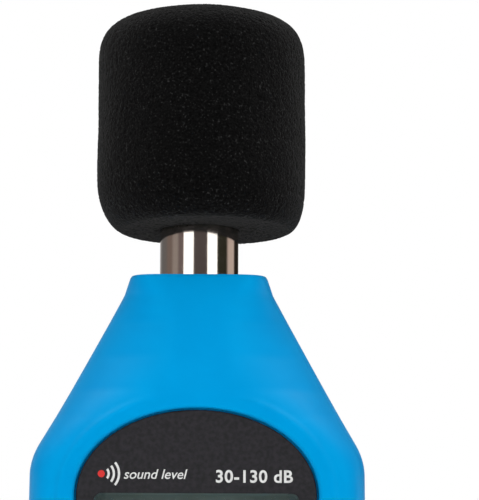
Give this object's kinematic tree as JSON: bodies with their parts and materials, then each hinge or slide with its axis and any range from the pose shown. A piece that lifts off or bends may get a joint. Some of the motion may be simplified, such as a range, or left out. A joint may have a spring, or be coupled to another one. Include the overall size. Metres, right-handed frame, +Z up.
{
  "type": "sound level meter",
  "caption": "Hand-held sound level meter: two-shell plastic case with display and keys, half-inch microphone in a metal barrel, slip-on foam windscreen and a hinged battery cover.",
  "frame": {"origin": "centre of the case's flat bottom end, on which the meter stands", "axes": "+Z runs up the microphone's axis, -Y is the side with the display and the keys, +X is to the right seen from that side"},
  "size_m": [0.0528, 0.034, 0.1592],
  "materials": {
    "case_plastic": "bright blue ABS with a fine satin moulded grain",
    "overlay": "charcoal printed overlay, satin with a fine speckle",
    "clear_acrylic": "clear and polished",
    "display_glass": "grey-green liquid crystal display, smooth",
    "white_plastic": "white moulded plastic",
    "keypad_rubber": "dark grey silicone rubber, matte",
    "circuit_board": "green solder mask over glass-fibre laminate",
    "chip_plastic": "black moulded epoxy",
    "plated_tube": "bright nickel plate on a drawn tube",
    "steel": "zinc-plated steel",
    "contact_metal": "nickel-plated spring steel",
    "brass": "turned brass",
    "foam": "open-cell black polyurethane foam, matte with a fine pore texture",
    "black_rubber": "black rubber, matte",
    "cell_jacket": "printed plastic jacket on a metal can, satin",
    "red_wire": "red insulated wire",
    "black_wire": "black insulated wire"
  },
  "bodies": {
    "case": {"front_shell": "case_plastic", "rear_shell": "case_plastic", "face_plate": "overlay", "display_lens": "clear_acrylic", "display_frame": "white_plastic", "display_glass": "display_glass", "backlight_guide": "white_plastic", "zebra_strip": "keypad_rubber", "keypad_web": "keypad_rubber", "key_dome_1": "steel", "key_dome_2": "steel", "key_dome_3": "steel", "main_board": "circuit_board", "controller_chip": "chip_plastic", "amplifier_chip": "chip_plastic", "timing_crystal": "steel", "filter_capacitor_1": "chip_plastic", "filter_capacitor_2": "chip_plastic", "trimmer_body": "white_plastic", "mic_barrel": "plated_tube", "mic_grid": "plated_tube", "mic_capsule": "steel", "mic_boot": "black_rubber", "mic_lead_signal": "red_wire", "mic_lead_shield": "black_wire", "cell_1": "cell_jacket", "cell_2": "cell_jacket", "cell_3": "cell_jacket", "terminal_plus": "contact_metal", "terminal_minus": "contact_metal", "bridge_top": "contact_metal", "bridge_bottom": "contact_metal", "cell_spring_1": "contact_metal", "cell_spring_2": "contact_metal", "cell_spring_3": "contact_metal", "battery_lead_red": "red_wire", "battery_lead_black": "black_wire", "cover_insert": "brass", "tripod_insert": "brass", "case_screw_1": "steel", "case_screw_2": "steel", "case_screw_3": "steel", "case_screw_4": "steel", "board_screw_1": "steel", "board_screw_2": "steel", "board_screw_3": "steel", "board_screw_4": "steel"},
    "windscreen": {"windscreen": "foam"},
    "power_key": {"power_key": "keypad_rubber"},
    "hold_key": {"hold_key": "keypad_rubber"},
    "range_key": {"range_key": "keypad_rubber"},
    "battery_cover": {"battery_cover": "case_plastic", "cover_screw": "steel"},
    "trimmer_rotor": {"trimmer_rotor": "brass"}
  },
  "joints": [
    {"name": "windscreen_pull", "type": "slide", "parent": "case", "child": "windscreen", "axis": [0, 0, 1], "range_m": [0, 0.045]},
    {"name": "power_key_press", "type": "slide", "parent": "case", "child": "power_key", "axis": [0, 1, 0], "range_m": [0, 0.001], "stiffness_N_per_m": 1200},
    {"name": "hold_key_press", "type": "slide", "parent": "case", "child": "hold_key", "axis": [0, 1, 0], "range_m": [0, 0.001], "stiffness_N_per_m": 1200},
    {"name": "range_key_press", "type": "slide", "parent": "case", "child": "range_key", "axis": [0, 1, 0], "range_m": [0, 0.001], "stiffness_N_per_m": 1200},
    {"name": "battery_cover_swing", "type": "hinge", "parent": "case", "child": "battery_cover", "pos_m": [0, 0.0139, 0.0125], "axis": [-1, 0, 0], "range_deg": [0, 75]},
    {"name": "trimmer_turn", "type": "hinge", "parent": "case", "child": "trimmer_rotor", "pos_m": [-0.013, 0, 0.076], "axis": [0, 1, 0], "range_deg": [-135, 135]}
  ]
}
